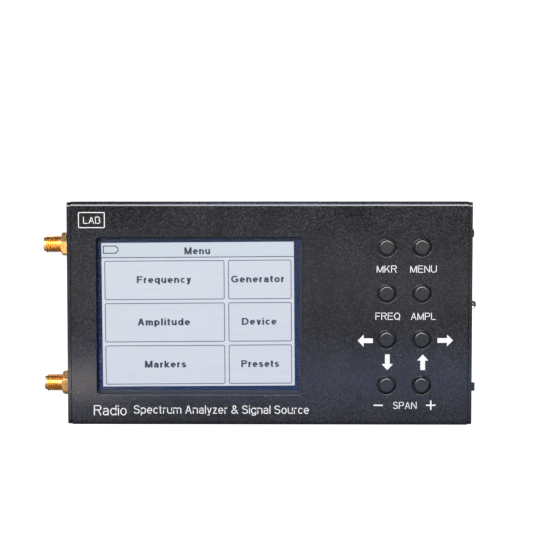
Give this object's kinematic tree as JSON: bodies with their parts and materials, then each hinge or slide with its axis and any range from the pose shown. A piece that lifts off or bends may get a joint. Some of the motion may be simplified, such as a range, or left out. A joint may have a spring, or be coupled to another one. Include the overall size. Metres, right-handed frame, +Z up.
{
  "type": "spectrum analyzer",
  "caption": "Hand-held radio spectrum analyzer: split extruded metal case, recessed touch screen, round push keys, coaxial jacks on one end, charging socket and slide switch on the other.",
  "frame": {"origin": "centre of the case's flat bottom face, midway between the end plates and between the front and rear faces", "axes": "+Z up, +X to the right seen from the front, the screen and keys face -Y, the coaxial jacks point along -X"},
  "size_m": [0.1594, 0.0273, 0.0812],
  "materials": {
    "case_coat": "fine-grained black powder coat on extruded aluminium",
    "screw_steel": "black oxide",
    "gold_plate": "gold-plated brass, polished",
    "white_insulator": "turned fluoropolymer",
    "key_plastic": "moulded, satin",
    "touch_glass": "clear, slightly anti-glare",
    "display_cell": "lit display surface, satin polariser",
    "bright_steel": "tinned or bright drawn sheet",
    "black_foam": "closed-cell foam tape",
    "diffuser": "white moulded light guide frame",
    "circuit_board": "green solder resist",
    "chip_black": "moulded epoxy",
    "ribbon_film": "amber polyimide film",
    "cell_pouch": "laminated foil pouch",
    "lead_red": "soft insulation",
    "white_nylon": "moulded nylon",
    "clear_epoxy": "cast clear epoxy",
    "tinned_lead": "tinned wire"
  },
  "bodies": {
    "case": {"front_shell": "case_coat", "rear_shell": "case_coat", "left_end_plate": "case_coat", "right_end_plate": "case_coat", "left_plate_screws": "screw_steel", "right_plate_screws": "screw_steel", "window_gasket": "black_foam", "touch_panel": "touch_glass", "display_tray": "bright_steel", "display_glass": "display_cell", "backlight": "diffuser", "display_ribbon": "ribbon_film", "ribbon_socket": "white_nylon", "display_board": "circuit_board", "main_board": "circuit_board", "board_spacers": "gold_plate", "board_screws": "bright_steel", "board_link": "chip_black", "processor": "chip_black", "shield_frame": "bright_steel", "shield_lid": "bright_steel", "radio_chips": "chip_black", "battery": "cell_pouch", "battery_pads": "black_foam", "battery_leads": "lead_red", "battery_plug": "white_nylon", "battery_socket": "white_nylon", "key_switches": "chip_black", "high_jack_body": "gold_plate", "high_jack_insulator": "white_insulator", "high_jack_contact": "gold_plate", "low_jack_body": "gold_plate", "low_jack_insulator": "white_insulator", "low_jack_contact": "gold_plate", "jack_washers": "gold_plate", "jack_nuts": "gold_plate", "side_switch": "chip_black", "status_lamp": "clear_epoxy", "lamp_leads": "tinned_lead", "charging_socket_shell": "bright_steel", "charging_socket_tongue": "chip_black", "power_switch_frame": "bright_steel"},
    "key_marker": {"key_marker": "key_plastic", "plunger_marker": "chip_black"},
    "key_menu": {"key_menu": "key_plastic", "plunger_menu": "chip_black"},
    "key_frequency": {"key_frequency": "key_plastic", "plunger_frequency": "chip_black"},
    "key_amplitude": {"key_amplitude": "key_plastic", "plunger_amplitude": "chip_black"},
    "key_left": {"key_left": "key_plastic", "plunger_left": "chip_black"},
    "key_right": {"key_right": "key_plastic", "plunger_right": "chip_black"},
    "key_down": {"key_down": "key_plastic", "plunger_down": "chip_black"},
    "key_up": {"key_up": "key_plastic", "plunger_up": "chip_black"},
    "side_key": {"side_key": "key_plastic"},
    "power_switch": {"power_switch_knob": "key_plastic"}
  },
  "joints": [
    {"name": "press_marker", "type": "slide", "parent": "case", "child": "key_marker", "axis": [0, 1, 0], "range_m": [0, 0.0003], "stiffness_N_per_m": 2000, "springref_m": -0.0005},
    {"name": "press_menu", "type": "slide", "parent": "case", "child": "key_menu", "axis": [0, 1, 0], "range_m": [0, 0.0003], "stiffness_N_per_m": 2000, "springref_m": -0.0005},
    {"name": "press_frequency", "type": "slide", "parent": "case", "child": "key_frequency", "axis": [0, 1, 0], "range_m": [0, 0.0003], "stiffness_N_per_m": 2000, "springref_m": -0.0005},
    {"name": "press_amplitude", "type": "slide", "parent": "case", "child": "key_amplitude", "axis": [0, 1, 0], "range_m": [0, 0.0003], "stiffness_N_per_m": 2000, "springref_m": -0.0005},
    {"name": "press_left", "type": "slide", "parent": "case", "child": "key_left", "axis": [0, 1, 0], "range_m": [0, 0.0003], "stiffness_N_per_m": 2000, "springref_m": -0.0005},
    {"name": "press_right", "type": "slide", "parent": "case", "child": "key_right", "axis": [0, 1, 0], "range_m": [0, 0.0003], "stiffness_N_per_m": 2000, "springref_m": -0.0005},
    {"name": "press_down", "type": "slide", "parent": "case", "child": "key_down", "axis": [0, 1, 0], "range_m": [0, 0.0003], "stiffness_N_per_m": 2000, "springref_m": -0.0005},
    {"name": "press_up", "type": "slide", "parent": "case", "child": "key_up", "axis": [0, 1, 0], "range_m": [0, 0.0003], "stiffness_N_per_m": 2000, "springref_m": -0.0005},
    {"name": "press_side_key", "type": "slide", "parent": "case", "child": "side_key", "axis": [-1, 0, 0], "range_m": [0, 0.0003], "stiffness_N_per_m": 2000, "springref_m": -0.0005},
    {"name": "power_slide", "type": "slide", "parent": "case", "child": "power_switch", "axis": [0, 0, 1], "range_m": [0, 0.002]}
  ]
}
